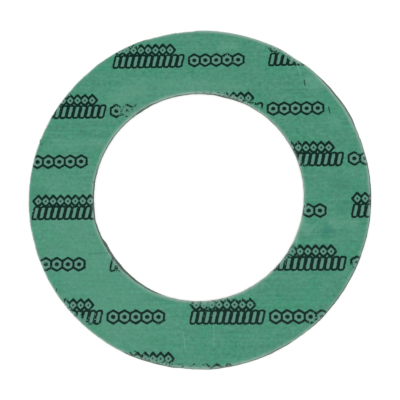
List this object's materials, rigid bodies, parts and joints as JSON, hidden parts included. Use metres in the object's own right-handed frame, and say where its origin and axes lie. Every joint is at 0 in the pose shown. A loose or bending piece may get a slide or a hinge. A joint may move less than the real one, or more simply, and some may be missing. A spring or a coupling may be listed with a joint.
{
  "type": "flat ring gasket",
  "caption": "Flat ring gasket cut from green rubber-bonded fibre sheet, with a plain round bore and rolled edges, for sealing a pipe flange inside its bolt circle.",
  "frame": {"origin": "middle of the bore, in the plane of the lower face that the ring lies on", "axes": "+Z out of the upper face along the bore axis; +X and +Y lie in the sheet, with the nick in the bore at about 194 degrees from +X"},
  "size_m": [0.127, 0.127, 0.0015],
  "materials": {
    "fibre_sheet": "matt calendered sheet, green, with cut edges rubbed paler"
  },
  "bodies": {
    "root": {"gasket_ring": "fibre_sheet"}
  },
  "joints": []
}
